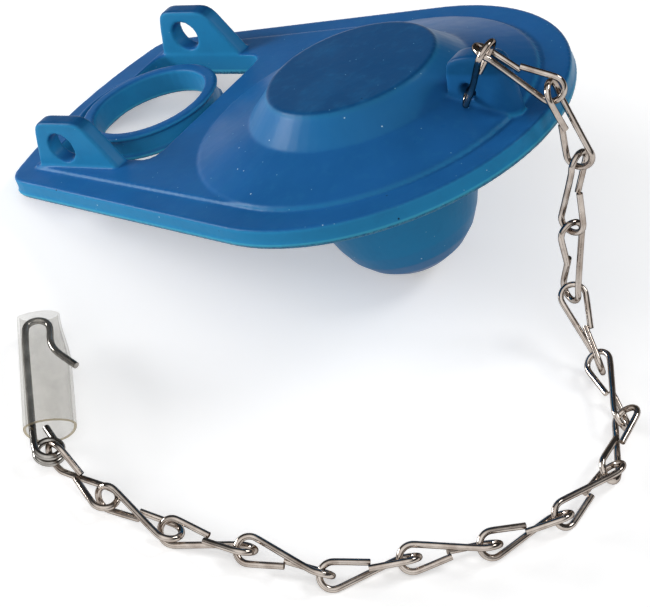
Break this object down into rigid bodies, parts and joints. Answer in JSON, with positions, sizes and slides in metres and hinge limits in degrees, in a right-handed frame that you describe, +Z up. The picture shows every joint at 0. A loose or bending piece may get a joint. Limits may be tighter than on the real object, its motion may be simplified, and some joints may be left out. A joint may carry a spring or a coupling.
{
  "type": "toilet flapper",
  "caption": "Rubber toilet flapper with a domed disc, tube ring and hinge ears, an air bulb below, and a lift chain of bent wire links ending in a sleeved wire clip.",
  "frame": {"origin": "middle of the bounding box's underside, on the table the flapper rests on", "axes": "+Z up from the table, +X from the hinge ears towards the chain lug, +Y across the flapper away from the chain's loose end"},
  "size_m": [0.1584, 0.1404, 0.07],
  "materials": {
    "rubber": "smooth moulded rubber, slightly glossy, with white specks",
    "chain_wire": "bright drawn wire",
    "clip_wire": "bright drawn wire, darker than the chain",
    "vinyl": "clear soft vinyl tube"
  },
  "bodies": {
    "flapper": {"flapper_body": "rubber"},
    "link_01": {"chain_link_01": "chain_wire"},
    "link_02": {"chain_link_02": "chain_wire"},
    "link_03": {"chain_link_03": "chain_wire"},
    "link_04": {"chain_link_04": "chain_wire"},
    "link_05": {"chain_link_05": "chain_wire"},
    "link_06": {"chain_link_06": "chain_wire"},
    "link_07": {"chain_link_07": "chain_wire"},
    "link_08": {"chain_link_08": "chain_wire"},
    "link_09": {"chain_link_09": "chain_wire"},
    "link_10": {"chain_link_10": "chain_wire"},
    "link_11": {"chain_link_11": "chain_wire"},
    "link_12": {"chain_link_12": "chain_wire"},
    "link_13": {"chain_link_13": "chain_wire"},
    "link_14": {"chain_link_14": "chain_wire"},
    "link_15": {"chain_link_15": "chain_wire"},
    "link_16": {"chain_link_16": "chain_wire"},
    "clip": {"chain_clip": "clip_wire", "clip_sleeve": "vinyl"}
  },
  "joints": [
    {"name": "lug_swing", "type": "hinge", "parent": "flapper", "child": "link_01", "pos_m": [0.02327, 0.02594, 0.05367], "axis": [0, 1, 0], "range_deg": [-4, 2]},
    {"name": "meet_02", "type": "hinge", "parent": "link_01", "child": "link_02", "pos_m": [0.02695, 0.02128, 0.06809], "axis": [0, 0, 1], "range_deg": [-3, 4]},
    {"name": "meet_03", "type": "hinge", "parent": "link_02", "child": "link_03", "pos_m": [0.04106, 0.02593, 0.06023], "axis": [0, 0, 1], "range_deg": [-3, 4]},
    {"name": "meet_04", "type": "hinge", "parent": "link_03", "child": "link_04", "pos_m": [0.04819, 0.02579, 0.04566], "axis": [0, 0, 1], "range_deg": [-3, 4]},
    {"name": "meet_05", "type": "hinge", "parent": "link_04", "child": "link_05", "pos_m": [0.04811, 0.02442, 0.02883], "axis": [0, 0, 1], "range_deg": [-3, 4]},
    {"name": "meet_06", "type": "hinge", "parent": "link_05", "child": "link_06", "pos_m": [0.04961, 0.02368, 0.01212], "axis": [0, 0, 1], "range_deg": [-3, 4]},
    {"name": "meet_07", "type": "hinge", "parent": "link_06", "child": "link_07", "pos_m": [0.06104, 0.01575, 0.00423], "axis": [0, 0, 1], "range_deg": [-3, 16]},
    {"name": "meet_08", "type": "hinge", "parent": "link_07", "child": "link_08", "pos_m": [0.07258, 0.00587, 0.0032], "axis": [0, 0, 1], "range_deg": [-3, 16]},
    {"name": "meet_09", "type": "hinge", "parent": "link_08", "child": "link_09", "pos_m": [0.07676, -0.00886, 0.00396], "axis": [0, 0, 1], "range_deg": [-3, 16]},
    {"name": "meet_10", "type": "hinge", "parent": "link_09", "child": "link_10", "pos_m": [0.07398, -0.02456, 0.0038], "axis": [0, 0, 1], "range_deg": [-3, 16]},
    {"name": "meet_11", "type": "hinge", "parent": "link_10", "child": "link_11", "pos_m": [0.06547, -0.03813, 0.00361], "axis": [0, 0, 1], "range_deg": [-3, 16]},
    {"name": "meet_12", "type": "hinge", "parent": "link_11", "child": "link_12", "pos_m": [0.05372, -0.04836, 0.00301], "axis": [0, 0, 1], "range_deg": [-3, 16]},
    {"name": "meet_13", "type": "hinge", "parent": "link_12", "child": "link_13", "pos_m": [0.04282, -0.06058, 0.00305], "axis": [0, 0, 1], "range_deg": [-3, 16]},
    {"name": "meet_14", "type": "hinge", "parent": "link_13", "child": "link_14", "pos_m": [0.02665, -0.06341, 0.0039], "axis": [0, 0, 1], "range_deg": [-3, 16]},
    {"name": "meet_15", "type": "hinge", "parent": "link_14", "child": "link_15", "pos_m": [0.01171, -0.06706, 0.00283], "axis": [0, 0, 1], "range_deg": [-3, 16]},
    {"name": "meet_16", "type": "hinge", "parent": "link_15", "child": "link_16", "pos_m": [-0.00328, -0.06707, 0.00353], "axis": [0, 0, 1], "range_deg": [-3, 16]},
    {"name": "clip_turn", "type": "hinge", "parent": "link_16", "child": "clip", "pos_m": [-0.01995, -0.06321, 0.00443], "axis": [0, 0, 1], "range_deg": [-10, 20]}
  ]
}
